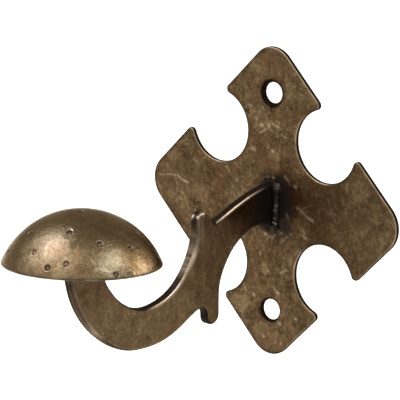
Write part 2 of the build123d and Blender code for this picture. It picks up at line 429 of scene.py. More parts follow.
plate_mat = brass("plate_brass", (0.042, 0.0235, 0.0096), (0.085, 0.0525, 0.0232), (0.155, 0.105, 0.051), (0.092, 0.045, 0.0215),
                  (0.42, 0.32, 0.20), 0.43, 0.95, seed=1.0, coat=0.0, coat_rough=0.42, contrast=1.6, heat=(0.50, 0.35, 0.27), hairs=0.16)
arm_mat = brass("arm_brass", (0.043, 0.026, 0.0108), (0.070, 0.0445, 0.0190), (0.108, 0.072, 0.0335), (0.068, 0.035, 0.0185),
                (0.66, 0.51, 0.37), 0.36, 0.95, speck=0.6, grain=0.9, patch=0.62, seed=2.0, coat=0.04, coat_rough=0.30, contrast=1.5, heat=(0.445, 0.310, 0.250), hairs=0.05)
cap_mat = brass("cap_brass", (0.106, 0.069, 0.0315), (0.170, 0.118, 0.0575), (0.236, 0.172, 0.094), (0.158, 0.092, 0.043),
                (0.66, 0.52, 0.35), 0.26, 0.98, speck=0.6, grain=0.9, bump=2.2, seed=3.0, coat=0.30, coat_rough=0.22, contrast=1.6, patch=0.6, heat=(0.66, 0.60, 0.48), hairs=0.06)
weld_mat = brass("weld_metal", (0.0085, 0.0050, 0.0033), (0.0145, 0.0088, 0.0058), (0.027, 0.0180, 0.0120), (0.020, 0.0098, 0.0075),
                 (0.42, 0.37, 0.31), 0.42, 0.97, speck=0.8, seed=4.0, coat=0.0, coat_rough=0.3)

# ------------------------------------------------------------------ backplate
# scuffs on the sheet's face: from (x, z) to (x, z), half width, strength
PLATE_SCRATCHES = [
    (-38.26, 1.93, -36.48, 1.57, 0.28, 0.5), (-35.73, 2.01, -33.95, 0.78, 0.32, 0.55), (-33.72, 0.82, -31.72, 0.48, 0.36, 0.7), (-42.54, 0.82, -38.73, 1.66, 0.3, 0.32),
    (-35.96, -0.18, -35.8, -0.84, 0.3, 0.45), (-35.72, -1.73, -35.71, -3, 0.35, 0.35), (-34.45, -2.78, -33.19, -3.34, 0.3, 0.5), (-29.25, 7.8, -29.25, 7.71, 0.35, 0.4),
    (-28.36, 7.36, -28.08, 7.16, 0.35, 0.4), (-16.74, 7.74, -15.77, 6.61, 0.4, 0.4), (-13.02, 4.37, -12.63, 4.2, 0.4, 0.4), (-39.85, 4.49, -39.45, 4.11, 0.4, 0.35),
    (-34.29, -4.8, -33.97, -5.05, 0.35, 0.4), (-31.55, -1.14, -31.16, -1.53, 0.35, 0.3), (-5.7, 24.05, -5.61, 23.48, 0.45, 0.55), (-3.55, 27.17, -3.25, 26.87, 0.4, 0.5),
    (-3.92, 22.15, -3.33, 21.99, 0.42, 0.8), (-1.12, 22.61, -0.96, 21.91, 0.35, 0.7), (0.28, 23.03, 2.57, 22.42, 0.3, 0.65), (-4.34, 19.68, -2.06, 21.09, 0.28, 0.6),
    (-0.74, 21.8, 0.31, 20.67, 0.25, 0.5), (1.52, 23.98, 2.88, 23.63, 0.25, 0.45), (3.85, 20.24, 5.25, 19.92, 0.3, 0.45), (-6.81, 14.72, -6.21, 14.41, 0.5, 0.6),
    (0.4, 15.23, 0.69, 15.05, 0.4, 0.7), (2.21, 14.72, 2.48, 14.31, 0.35, 0.45), (-7.86, 27.3, -7.63, 26.99, 0.35, 0.5), (-5.78, 22, -5.41, 21.89, 0.35, 0.4),
    (-5.08, 25.3, -4.35, 26.06, 0.25, 0.35), (-1.92, 24.65, -1.35, 23.58, 0.2, 0.4), (-3.05, 25.91, -2.3, 25.02, 0.2, 0.35), (5.07, 8.36, 6.63, 7.18, 0.42, 0.45),
    (6.63, 7.18, 7.19, 6.47, 0.35, 0.35), (8.77, 6.34, 9.32, 6.35, 0.45, 0.85), (9.68, 0.34, 12.26, -0.93, 0.4, 0.62), (12.82, -1.53, 15.38, -2.56, 0.42, 0.62),
    (11.98, -7.52, 13.27, -8.2, 0.36, 0.6), (12.21, -6.3, 12.51, -6.54, 0.35, 0.5), (2.35, 5.73, 3.74, 4.4, 0.5, 0.4), (5.43, -2.46, 6.74, -3.62, 0.4, 0.3),
    (1.31, 6.13, 1.87, 5.82, 0.4, 0.3), (-1.01, 7.24, -0.74, 6.94, 0.4, 0.3), (0.66, 7.59, 1.11, 7.26, 0.4, 0.32), (-2.47, 5.34, -2.13, 5.17, 0.35, 0.3),
    (-3.75, -15.38, -3.63, -15.9, 0.32, 0.7), (-1.28, -20.2, -0.57, -20.35, 0.35, 0.55), (-2.4, -21.01, -1.45, -21.36, 0.3, 0.45), (3.94, -20.01, 6.07, -18.73, 0.32, 0.55),
    (1.22, -24.76, 2.54, -25.77, 0.3, 0.4), (2.73, -25.97, 3.41, -26.27, 0.42, 0.8), (-6.19, -28.31, -5.81, -28.59, 0.45, 0.65), (-9.57, -25.7, -9.01, -27.54, 0.35, 0.42),
    (9.38, -32.47, 9.97, -32.52, 0.4, 0.6), (-2.48, -39.94, -2.09, -40.28, 0.5, 0.45), (4.39, -40.97, 4.84, -41.36, 0.42, 0.42), (3.25, -35.1, 4, -35.18, 0.45, 0.5),
    (-2.07, -9.42, -1.47, -9.49, 0.42, 0.6), (-0.68, -10.08, 0.73, -9.42, 0.28, 0.4), (-1.6, -11.29, 0.25, -9.75, 0.22, 0.35), (4.92, -9.68, 3.8, -11.08, 0.3, 0.5),
    (6.16, -8.62, 5.26, -9.97, 0.28, 0.4), (10.99, -11.51, 9.12, -13.58, 0.4, 0.3), (7.93, -15.05, 7.23, -17.25, 0.4, 0.28), (2.07, -7.05, 3.19, -7.72, 0.35, 0.35),
    (27.27, 10.31, 27.48, 8.63, 0.35, 0.4), (25.96, 5.5, 26.53, 4.17, 0.35, 0.3), (29.22, 9.8, 29.61, 8.44, 0.3, 0.25), (23.04, 0.94, 23.4, 0.61, 0.35, 0.3),
    (32.69, -2.42, 33.05, -2.64, 0.35, 0.3), (21.94, 2.18, 22.17, 1.36, 0.35, 0.28), (11.08, 23.29, 11.6, 22.8, 0.35, 0.3), (-11.41, -10.78, -10.26, -12.05, 0.3, 0.3),
    (-5.32, -13.49, -4.93, -14.31, 0.25, 0.25), (0.53, -28.72, 0.91, -28.94, 0.3, 0.3), (-9.2, -4.72, -8.08, -3.92, 0.3, 0.3), (-15.69, -2.63, -14.55, -2.13, 0.35, 0.3),
    (-22.23, 0.36, -21.84, -0.17, 0.3, 0.3), (-19.19, 4.77, -18.43, 4.61, 0.3, 0.3), (-1.95, -9.42, -1.6, -9.36, 0.42, 0.45), (0.6, -10.3, 1.7, -9.2, 0.36, 0.42),
    (3.95, -8.3, 4.4, -8.25, 0.48, 0.42), (4.4, -10.35, 5.0, -9.8, 0.4, 0.45), (7.6, -7.9, 8.0, -7.8, 0.34, 0.5), (-0.98, 7.3, -0.85, 7.15, 0.4, 0.42),
    (0.85, 7.5, 1.0, 7.3, 0.38, 0.42), (-2.45, 5.3, -2.3, 5.15, 0.34, 0.5), (6.0, -2.0, 6.5, -3.6, 0.34, 0.5), (5.5, -0.3, 5.7, -0.6, 0.3, 0.3),
]

outline = resample(plate_outline(0.3), 0.33)
hole_top = np.array(arc(0, SCREW_Z, SCREW_R, 0, 2 * math.pi, 0.28))
hole_low = np.array(arc(0, -SCREW_Z, SCREW_R, 0, 2 * math.pi, 0.28))
r_f, r_b = 0.46, 0.12
rim = [(r_f, 0.0)]
for k in range(1, 6):
    a = math.radians(90 * k / 6)
    rim.append((r_f * (1 - math.sin(a)), r_f * (1 - math.cos(a))))
rim += [(0.0, r_f), (0.0, 0.68), (0.0, 0.88), (0.0, PLATE_T - r_b), (r_b * 0.3, PLATE_T - r_b * 0.3), (r_b, PLATE_T)]
sink = SINK_R - SCREW_R
bore = [(sink + 0.16, 0.0), (sink + 0.06, 0.025), (sink - 0.03, 0.10), (sink * 0.75, sink * 0.27), (sink * 0.5, sink * 0.51), (sink * 0.25, sink * 0.75), (0.04, sink - 0.03), (0.0, sink + 0.07), (0.0, PLATE_T - 0.1), (0.03, PLATE_T - 0.03), (0.12, PLATE_T)]
pts, faces, n_front = slab([outline, hole_top, hole_low], [rim, bore, bore], 0.28, 0.8)
co = np.column_stack([pts[:, 0], -PLATE_T + pts[:, 2], pts[:, 1]])
plate = make("backplate_body", co, faces, plate_mat)
co, no = read(plate)
front = step01(-no[:, 1], 0.2, 0.9)
uneven = 0.035 * fbm(co, 15.0, 5, 2) + 0.016 * fbm(co, 5.0, 9, 2) + 0.005 * fbm(co, 1.4, 11, 2)
edge_d = np.full(len(co), 9.0)
tree = kdtree.KDTree(len(outline))
for k, p in enumerate(outline):
    tree.insert((p[0], p[1], 0), k)
tree.balance()
edge_d = np.array([tree.find((p[0], p[2], 0))[2] for p in co])
hole_d = np.minimum(np.abs(np.hypot(co[:, 0], co[:, 2] - SCREW_Z) - SINK_R), np.abs(np.hypot(co[:, 0], co[:, 2] + SCREW_Z) - SINK_R))
soften = step01(np.minimum(edge_d, hole_d + 0.4), 0.0, 2.5) * 0.7 + 0.3
push = np.clip(uneven * soften, -0.05, 0.05)
# pits and small dings in the sheet
rng = np.random.default_rng(7)
for _ in range(150):
    c = np.array([rng.uniform(-45, 45), 0, rng.uniform(-45, 45)])
    r = rng.uniform(0.25, 0.6)
    d = np.hypot(co[:, 0] - c[0], co[:, 2] - c[2])
    push -= front * rng.uniform(0.008, 0.03) * np.exp(-(d / r) ** 2)
scuff = np.zeros(len(co))
flat = co[:, [0, 2]]
for x0, z0, x1, z1, w, g in PLATE_SCRATCHES:
    d, along = segment_distance(flat, (x0, z0), (x1, z1))
    d = d + 0.10 * vnoise(co, 0.7, 27)
    m = np.exp(-(np.maximum(d, 0) / w) ** 2) * g
    push -= front * 0.022 * m
    scuff = np.maximum(scuff, m * front * (0.8 + 0.2 * vnoise(co, 0.6, 28)))
write(plate, co + no * push[:, None])
wall = 1 - step01(np.abs(no[:, 1]), 0.35, 0.80)
rim_out = -inward(outline)[np.array([tree.find((p[0], p[2], 0))[1] for p in co])]
# edges of the sheet that face up and to the right, towards the lamps, get a pale line, partly edge wear and partly a
# painted highlight; those facing away get painted shade further down
open_side = step01(0.86 * rim_out[:, 0] + 0.51 * rim_out[:, 1], -0.15, 0.55)
edge_line = np.exp(-((edge_d - 0.14) / 0.27) ** 2) * step01(-no[:, 1], 0.55, 0.75)
wear_and_highlight = edge_line * (0.70 + 0.30 * vnoise(co, 2.2, 21)) * (0.10 + 0.72 * open_side)
# soot from welding: a ragged black patch, deepest on the right of the bead
low = np.array([1.6, -5.7])
seg_t = np.clip((co[:, 2] - low[1]) / 9.4, 0, 1)
sx, sz = co[:, 0] - low[0], co[:, 2] - (low[1] + 9.4 * seg_t)
root_d = np.hypot(np.where(sx < 0, sx * 1.15, sx), sz * np.where(sz > 0, 1.15, 1.35))
ragged = root_d + 1.4 * vnoise(co, 3.4, 23) + 1.0 * vnoise(co, 1.0, 24)
soot = step01(ragged, 8.0, 3.6)
upper = np.hypot(co[:, 0] + 1.0, (co[:, 2] - 6.6) * 1.1) + 1.0 * vnoise(co, 2.0, 29) + 0.6 * vnoise(co, 0.8, 30)
soot = np.maximum(soot, step01(upper, 4.4, 0.6) * np.clip(0.62 + 0.55 * vnoise(co, 0.75, 38), 0.15, 1.0))
under = np.hypot(co[:, 0] - 5.2, (co[:, 2] + 8.6) * 0.9)
soot = np.maximum(soot, step01(under, 4.6, 1.0) * np.clip(0.32 + 0.75 * vnoise(co, 0.8, 39), 0.0, 0.9))
soot = soot * front * (1 - 0.8 * scuff)
right_side = step01(co[:, 0], -7.0, 2.0)
heat = 0.52 * step01(np.hypot((co[:, 0] - 8.5) / 24.0, (co[:, 2] - 0.3) / 13.5) + 0.12 * vnoise(co, 6.0, 25), 1.05, 0.40) * (0.30 + 0.70 * right_side)
# the face is also darker in a band across the lower arm and towards the left tip, away from the weld
heat += 0.24 * step01(co[:, 2], -8.0, -13.0) * step01(co[:, 2], -31.0, -26.0) + 0.20 * step01(co[:, 0], -9.0, -20.0)
heat += 0.48 * step01(np.hypot((co[:, 0] - 5.8) / 7.5, (co[:, 2] - 1.2) / 8.2) + 0.16 * vnoise(co, 3.0, 20), 1.15, 0.45)
bore_r = np.minimum(np.hypot(co[:, 0], co[:, 2] - SCREW_Z), np.hypot(co[:, 0], co[:, 2] + SCREW_Z))
# near black: the sheet's cut side walls; painted shade on the rolled edges that face away from the lamps and in a band
# beside them on the face; painted shade in the countersinks and bores, narrower in the lower hole
dirt_and_painted_shade = wall * step01(co[:, 1], -PLATE_T + 0.12, -PLATE_T + 0.26)
dirt_and_painted_shade = np.maximum(dirt_and_painted_shade, 0.92 * (1 - open_side) * step01(edge_d, 0.60, 0.28))
dirt_and_painted_shade = np.maximum(dirt_and_painted_shade, 0.30 * (1 - open_side) * front * step01(edge_d, 1.60, 0.55))
lower = 0.40 * step01(co[:, 2], 0.0, -1.0)
dirt_and_painted_shade = np.maximum(dirt_and_painted_shade, step01(bore_r, SINK_R + 0.40 - lower, SINK_R - 0.02 - lower))
# the face is darker in a ring round each screw hole
hole_ring_dark = 0.60 * step01(bore_r + 0.4 * vnoise(co, 1.5, 26), SINK_R + 1.5, SINK_R + 0.1) * front
fresh = 0.022 * step01(np.hypot(co[:, 0], co[:, 2]), 24.0, 40.0) * front
attribute(plate, "wear_and_highlight", np.clip(np.maximum(wear_and_highlight, scuff) + fresh, 0, 1))
attribute(plate, "soot", np.clip(soot, 0, 1))
attribute(plate, "scorch", np.clip(np.maximum(heat, hole_ring_dark), 0, 1))
attribute(plate, "dirt_and_painted_shade", np.clip(dirt_and_painted_shade, 0, 1))
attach(plate, "root"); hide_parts("backplate")


# ------------------------------------------------------------------ hook arm
def spline(points, t0, t1, step):
    """Clamped cubic spline through points, chord-length parameter, unit end tangents."""
    p = np.array(points, float)
    h = np.hypot(*np.diff(p, axis=0).T)
    n = len(p)
    A, b = np.zeros((n, n)), np.zeros((n, 2))
    u0, u1 = np.array(t0, float), np.array(t1, float)
    u0, u1 = u0 / np.hypot(*u0), u1 / np.hypot(*u1)
    A[0, 0] = A[-1, -1] = 1
    b[0], b[-1] = u0, u1
    for i in range(1, n - 1):
        A[i, i - 1], A[i, i], A[i, i + 1] = h[i], 2 * (h[i - 1] + h[i]), h[i - 1]
        b[i] = 3 * (h[i] * (p[i] - p[i - 1]) / h[i - 1] + h[i - 1] * (p[i + 1] - p[i]) / h[i])
    m = np.linalg.solve(A, b)
    out = []
    for i in range(n - 1):
        k = max(2, int(h[i] / step) + 1)
        for s in np.arange(k) / k:
            a0, a1 = 2 * s ** 3 - 3 * s ** 2 + 1, s ** 3 - 2 * s ** 2 + s
            a2, a3 = -2 * s ** 3 + 3 * s ** 2, s ** 3 - s ** 2
            out.append(a0 * p[i] + a1 * h[i] * m[i] + a2 * p[i + 1] + a3 * h[i] * m[i + 1])
    return out


def straight(a, b, step):
    a, b = np.array(a, float), np.array(b, float)
    k = max(1, int(np.hypot(*(b - a)) / step))
    return [a + (b - a) * s / k for s in range(k)]


throat = [(-33.75, 1.5), (-33.84, -1.6), (-34.5, -4.9), (-35.72, -8.05), (-37.45, -11.0), (-39.65, -13.65),
          (-42.4, -15.92), (-45.85, -17.7), (-49.9, -18.8), (-54.2, -19.05), (-58.1, -18.25), (-62.15, -16.35),
          (-65.55, -13.75), (-68.0, -11.0), (-69.75, -8.45), (-70.9, -5.5), (-71.4, -2.4), (-71.5, 0.6)]
belly = [(-83.72, -0.6), (-83.2, -5.9), (-81.65, -11.1), (-79.4, -15.4), (-76.5, -19.35), (-71.4, -24.15),
         (-66.05, -27.65), (-60.2, -29.72), (-54.1, -30.32), (-47.4, -29.92), (-41.5, -28.15), (-37.9, -26.45),
         (-34.7, -24.95)]
rear = [(-24.35, -23.6), (-23.98, -18.7), (-22.75, -15.5), (-21.05, -12.7), (-18.5, -9.75), (-15.2, -7.4),
        (-11.8, -5.88), (-8.6, -5.2), (-5.3, -5.4), (-2.9, -6.2), (-1.2, -7.15)]
arm_end_r = math.sqrt((CAP_R - CAP_T) ** 2 - (ARM_HALF + abs(CAP_CENTRE[0])) ** 2) - 0.01


def on_end(y):
    return (y, CAP_CENTRE[2] + math.sqrt(arm_end_r ** 2 - (y - CAP_CENTRE[1]) ** 2))


top_dir, thorn_dir, belly_dir = (-2.1, -0.76), (-2.0, 2.15), (0.92, 0.42)
top_edge = [(-1.2, 5.9), (-5.1, 5.62), (-9.15, 4.92), (-12.6, 4.08), (-16.0, 3.05), (-19.4, 1.9), (-22.7, 0.7), (-24.8, -0.08)]
st = 0.1
loop = []
loop += spline(top_edge, (-1, -0.03), top_dir, st)
loop += spline([(-24.8, -0.08), (-26.35, -0.4), (-27.55, 0.5)], top_dir, thorn_dir, st)
loop += straight((-27.55, 0.5), (-29.55, 2.65), st)
loop += spline([(-29.55, 2.65), (-31.1, 3.38), (-33.05, 2.75), (-33.75, 1.5)], thorn_dir, (0, -1), st)
loop += spline(throat, (0, -1), (0, 1), st)
loop += straight(throat[-1], on_end(throat[-1][0]), st)
ys = np.linspace(throat[-1][0], belly[0][0], 120, endpoint=False)
loop += [np.array(on_end(y)) for y in ys]
loop += straight(on_end(belly[0][0]), belly[0], st)
loop += spline(belly, (0, -1), belly_dir, st)
loop += spline([belly[-1], (-31.7, -24.3), (-29.75, -26.3)], belly_dir, (0, -1), st)
loop += straight((-29.75, -26.3), (-29.75, -27.2), st)
loop += [np.array(p) for p in arc(-27.05, -27.2, 2.7, math.pi, 2 * math.pi, st)]
loop += straight((-24.35, -27.2), (-24.35, -23.6), st)
loop += spline(rear, (0, 1), (1, -0.62), st)
loop += straight((-1.2, -7.15), (-1.2, 5.9), st)
arm_loop = smooth_loop(resample(np.array(loop), 0.27), 2)
r_a = 0.78
half = [(r_a, 0.0)]
for k in range(1, 6):
    a = math.radians(90 * k / 6)
    half.append((r_a * (1 - math.sin(a)), r_a * (1 - math.cos(a))))
half.append((0.0, r_a))
r_back = 0.36
far = [(r_back, 0.0)] + [(r_back * (1 - math.sin(a)), r_back * (1 - math.cos(a))) for a in (math.radians(22.5 * k) for k in (1, 2, 3))] + [(0.0, r_back)]
thick = 2 * ARM_HALF
rings = half + [(0.0, 0.90), (0.0, 1.16), (0.0, 1.42), (0.0, 1.68), (0.0, 1.94), (0.0, 2.20)] + [(i, thick - d) for i, d in reversed(far)]
pts, faces, n_front = slab([arm_loop], [rings], 0.30, 0.32)
co = np.column_stack([ARM_HALF - pts[:, 2], pts[:, 0], pts[:, 1]])
arm = make("hook_arm_body", co, faces, arm_mat)
co, no = read(arm)
tree = kdtree.KDTree(len(arm_loop))
for k, p in enumerate(arm_loop):
    tree.insert((p[0], p[1], 0), k)
tree.balance()
arm_edge = np.array([tree.find((p[1], p[2], 0))[2] for p in co])
side_face = step01(np.abs(no[:, 0]), 0.2, 0.95)
push = 0.030 * fbm(co, 9.0, 31, 2) + 0.012 * fbm(co, 3.0, 33, 2) + 0.004 * fbm(co, 1.0, 34, 2)
push += (1 - side_face) * 0.022 * fbm(co * np.array([0.25, 1, 1]), 1.1, 35, 2)      # cut marks across the bar's edges
push *= step01(-co[:, 1], 1.2, 2.4) * step01(co[:, 2], 9.0, 6.0)
for _ in range(60):
    c = co[rng.integers(len(co))]
    r = rng.uniform(0.25, 0.55)
    push -= rng.uniform(0.008, 0.03) * np.exp(-(np.linalg.norm(co - c, axis=1) / r) ** 2)
write(arm, co + no * push[:, None])
arm_out = -inward(arm_loop)[np.array([tree.find((p[1], p[2], 0))[1] for p in co])]
# pale rounded edges, partly wear and partly a painted highlight: strongest on the edges facing up and to the front,
# weakened near the root, on the thorn's slope, the spur and the outer curve
seen_edge = step01(-0.94 * arm_out[:, 0] + 0.34 * arm_out[:, 1], 0.20, 0.55)
# the painted highlight on the bend of the throat is spread over a wider band
wide = 1 + 1.1 * np.exp(-((co[:, 2] + 7.5) / 5.0) ** 2) * step01(co[:, 1], -42.0, -38.0) * step01(co[:, 1], -30.0, -32.5)
tilt = np.abs(no[:, 0])
corner = np.maximum(step01(tilt, 0.28, 0.50) * step01(tilt, 0.997, 0.955),
                    np.exp(-(arm_edge / (0.50 * wide)) ** 2) * step01(np.abs(co[:, 0]), ARM_HALF - 0.45, ARM_HALF - 0.2))
wear_and_highlight = corner * (0.12 + 0.88 * seen_edge) * (0.84 + 0.16 * vnoise(co, 1.8, 41))
wear_and_highlight *= 1 - 0.9 * step01(-co[:, 1], 8.5, 3.0)
wear_and_highlight *= 1 - 0.60 * step01(co[:, 1], -21.4, -24.8) * step01(co[:, 1], -30.0, -27.0) * step01(co[:, 2], -3.0, -1.5)
wear_and_highlight *= 1 - 0.80 * step01(co[:, 2], -8.5, -3.5) * step01(co[:, 1], -30.5, -31.5) * step01(co[:, 1], -40.0, -37.0)
wear_and_highlight *= 1 - 0.92 * step01(co[:, 2], -20.5, -23.0) * step01(co[:, 1], -38.0, -35.0)
wear_and_highlight *= 1 - 0.30 * np.exp(-((co[:, 2] + 13.0) / 3.0) ** 2) * step01(co[:, 1], -34.0, -36.0) * step01(co[:, 1], -46.0, -43.0)
wear_and_highlight *= 1 - 0.72 * step01(co[:, 1], -64.0, -70.0) * (1 - 0.6 * np.exp(-((co[:, 2] + 21.5) / 2.6) ** 2))
# a lighter streaked band down the tip of the thorn, and painted glints at points on its crown
band = step01(co[:, 1], -30.7, -31.8) * step01(co[:, 2], -8.0, -1.0) * step01(co[:, 0], 1.0, 1.3)
streak = vnoise(co * np.array([1, 1, 0.12]), 0.55, 44)
wear_and_highlight = np.maximum(wear_and_highlight, band * (0.07 + 0.10 * streak))
painted_glint = np.zeros(len(co))
for gx, gy, gz, gr, gs in ((-1.05, -33.35, 2.20, 0.72, 1.0), (1.15, -33.4, 2.40, 0.62, 1.0), (1.10, -31.5, 3.20, 0.78, 1.0), (1.15, -32.4, 2.95, 0.45, 0.8)):
    point = gs * np.exp(-(np.linalg.norm(co - np.array([gx, gy, gz]), axis=1) / gr) ** 2)
    wear_and_highlight = np.maximum(wear_and_highlight, point)
    painted_glint = np.maximum(painted_glint, point)
# a painted highlight along the near edge of the thorn's back slope
slope_d, _ = segment_distance(co[:, [1, 2]], (-27.9, 0.35), (-29.6, 2.1))
wear_and_highlight = np.maximum(wear_and_highlight, 0.55 * np.exp(-(slope_d / 0.22) ** 2) * step01(co[:, 0], 1.0, 1.3))
# darker near the root: weld soot, and with it painted shade standing in for the dark sheet reflected in the bar's face
root = np.array([0, -1.2, -0.8])
ragged = np.linalg.norm((co - root) * np.array([1, 1, 0.55]), axis=1) + 1.4 * vnoise(co, 3.0, 42)
soot = step01(ragged, 14.5, 4.2)
heat = step01(np.linalg.norm((co - root) * np.array([1, 1, 0.8]), axis=1) + 3.0 * vnoise(co, 8.0, 43), 54.0, 14.0)
cap_root = np.linalg.norm((co - np.array([0, -77.6, 11.0])) * np.array([1, 0.7, 1]), axis=1) + 2.0 * vnoise(co, 4.0, 45)
# darker brown on the bar below the cap: heat tint from the cap weld, and painted shade under the dome
heat = np.maximum(heat, step01(cap_root, 29.0, 9.0) * np.clip(0.48 + 0.42 * fbm(co, 2.2, 48, 3), 0, 1))
heat = np.clip(heat + 0.14 * fbm(co, 4.0, 49, 3) + 0.60 * step01(co[:, 2], -14.0, -7.5) * step01(co[:, 1], -60.0, -66.0) * step01(vnoise(co, 2.3, 50), -0.1, 0.5), 0, 1)
# near-black painted shade: on the walls of the bar, deepest on those facing up, lighter in the throat and on the outer
# curve; on the rounded edges of the thorn's back slope, the outer curve, the spur and the thorn's front; along the far
# edge of the outer curve; and along the edges turned from the lamps. The painted glints are kept clear of it.
lip_band = step01(side_face, 0.97, 0.75) * step01(co[:, 0], ARM_HALF - 0.28, ARM_HALF - 0.62)
upward = step01(arm_out[:, 1], 0.0, 0.5)
throat_wall = step01(-arm_out[:, 0], 0.3, 0.8) * step01(co[:, 1], -43.0, -39.0) * step01(co[:, 2], -15.0, -11.0) * step01(co[:, 2], 0.5, -3.5)
outer_wall = step01(co[:, 1], -66.0, -72.0)
painted_wall_shade = np.clip(0.86 + 0.14 * upward - 0.86 * throat_wall - 0.48 * outer_wall - 0.13 * step01(co[:, 1], -31.0, -29.0), 0, 1)
cuts = vnoise(co * np.array([0.15, 1, 1]), 0.9, 47)
wear_and_highlight = np.maximum(wear_and_highlight, (1 - side_face) * throat_wall * (0.16 + 0.16 * cuts))
spur = step01(co[:, 1], -38.0, -36.0) * step01(co[:, 2], -21.5, -23.5)
back_slope = step01(co[:, 1], -31.0, -30.0) * step01(co[:, 1], -26.6, -27.6) * step01(co[:, 2], -0.6, 0.2)
painted_rounding_shade = step01(tilt, 0.995, 0.93) * np.clip(0.9 * back_slope + (0.34 + 0.42 * step01(co[:, 0], 0.20, 0.90)) * outer_wall * (1 - 0.6 * np.exp(-((co[:, 2] + 21.5) / 2.6) ** 2)) + spur, 0, 1)
thorn_front = step01(co[:, 1], -30.6, -31.6) * step01(co[:, 1], -41.0, -38.0) * step01(co[:, 2], -8.5, -4.0) * step01(co[:, 2], 3.0, 2.0)
painted_rounding_shade = np.maximum(painted_rounding_shade, 0.45 * thorn_front * step01(tilt, 0.995, 0.93))
far_edge_shade = step01(co[:, 1], -58.0, -64.0) * step01(-arm_out[:, 0] - arm_out[:, 1], -0.3, 0.3) * step01(co[:, 0], -0.05, -0.60) * step01(tilt, 0.98, 0.85)
painted_rounding_shade = np.maximum(painted_rounding_shade, 0.97 * far_edge_shade)
painted_edge_shade = 0.90 * (1 - seen_edge) * step01(arm_edge, 0.64, 0.34) * step01(np.abs(co[:, 0]), ARM_HALF - 0.005, ARM_HALF - 0.04)
attribute(arm, "wear_and_highlight", np.clip(wear_and_highlight * (1 - 0.5 * soot), 0, 1))
attribute(arm, "soot", np.clip(np.maximum(soot * (1 - 0.55 * corner * seen_edge), 0.75 * step01(cap_root, 8.5, 3.0)), 0, 1))
attribute(arm, "scorch", np.clip(heat, 0, 1))
attribute(arm, "dirt_and_painted_shade", np.clip(np.maximum(np.maximum(lip_band * painted_wall_shade * (0.9 + 0.1 * vnoise(co, 1.2, 46)), painted_rounding_shade), painted_edge_shade) * (1 - painted_glint), 0, 1))
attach(arm, "root"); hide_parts("hook_arm")

# ------------------------------------------------------------------ dome cap
MARKS = [(-89, 51.7), (-72, 60.8), (-58, 57.2), (-61, 32.8), (-58, 4.3), (-29, 42.3), (0, 48.2), (-21, 64.8),
         (29, 40.9), (58, 60.0), (83, 35.0), (112, 56.0), (141, 39.0), (168, 61.0), (-158, 34.0), (-127, 58.0), (-112, 40.0)]
MARK_DEPTH = [0.60, 1.15, 0.75, 1.25, 1.10, 1.20, 1.15, 1.20, 0.70]
lat0 = np.array([1.0, 0, 0])
lat0 = lat0 - CAP_AXIS * (lat0 @ CAP_AXIS)
lat0 /= np.linalg.norm(lat0)
lat1 = np.cross(CAP_AXIS, lat0)
polar_rim = math.acos(CAP_DROP / CAP_R)


def lambert(az, polar):
    r = 2 * CAP_R * math.sin(polar / 2)
    return (r * math.cos(az), r * math.sin(az))


def from_lambert(uv, radius):
    r = np.hypot(uv[:, 0], uv[:, 1])
    polar = 2 * np.arcsin(np.clip(r / (2 * CAP_R), 0, 1))
    az = np.arctan2(uv[:, 1], uv[:, 0])
    d = np.sin(polar)[:, None] * (np.cos(az)[:, None] * lat0 + np.sin(az)[:, None] * lat1) + np.cos(polar)[:, None] * CAP_AXIS
    return CAP_CENTRE + d * (radius[:, None] if np.ndim(radius) else radius)


# section of the rim in (radius from axis, height along axis), from the outside over the edge to the inside
rim_r = 0.42
out_a = math.asin((CAP_DROP + rim_r) / (CAP_R - rim_r))
in_a = math.asin((CAP_DROP + rim_r) / (CAP_R - CAP_T + rim_r))
oc = ((CAP_R - rim_r) * math.cos(out_a), CAP_DROP + rim_r)
ic = ((CAP_R - CAP_T + rim_r) * math.cos(in_a), CAP_DROP + rim_r)
section = []
for k in range(0, 8):
    a = out_a + (-math.pi / 2 - out_a) * k / 7
    section.append((oc[0] + rim_r * math.cos(a), oc[1] + rim_r * math.sin(a)))
for k in range(0, 8):
    a = -math.pi / 2 + (-(math.pi - in_a) + math.pi / 2) * k / 7
    section.append((ic[0] + rim_r * math.cos(a), ic[1] + rim_r * math.sin(a)))
m = 440
az = np.arange(m) * 2 * math.pi / m
p_out = math.pi / 2 - out_a
p_in = math.pi / 2 - in_a
ring_out = np.array([lambert(a, p_out) for a in az])
ring_in = np.array([lambert(a, p_in) for a in az])
dense = [(lambert(math.radians(a), math.radians(p)), 1.35, 0.11) for a, p in MARKS]
po, fo = fill([ring_out], 0.31, dense)
pi_, fi = fill([ring_in], 0.7)
verts = [from_lambert(po, CAP_R), from_lambert(pi_, CAP_R - CAP_T)]
faces = [fo, fi[:, ::-1] + len(po)]
prev = np.arange(m)
nxt = len(po) + len(pi_)
for k, (r, z) in enumerate(section[1:], 1):
    if k == len(section) - 1:
        cur = np.arange(len(po), len(po) + m)
    else:
        verts.append(CAP_CENTRE + r * (np.cos(az)[:, None] * lat0 + np.sin(az)[:, None] * lat1) + z * CAP_AXIS)
        cur = np.arange(nxt, nxt + m)
        nxt += m
    a, b, c, d = prev, np.roll(prev, -1), np.roll(cur, -1), cur
    faces += [np.column_stack([a, c, b]), np.column_stack([a, d, c])]
    prev = cur
cap = make("dome_cap_body", np.concatenate(verts), np.concatenate(faces), cap_mat)
co, no = read(cap)
rel = co - CAP_CENTRE
dist = np.linalg.norm(rel, axis=1)
outer = step01(dist, CAP_R - 0.8, CAP_R - 0.3)
height = rel @ CAP_AXIS
push = 0.030 * fbm(co, 10.0, 51, 2) + 0.010 * fbm(co, 3.2, 53, 2) + 0.003 * fbm(co, 1.0, 54, 2)
pit = np.zeros(len(co))
lip = np.zeros(len(co))
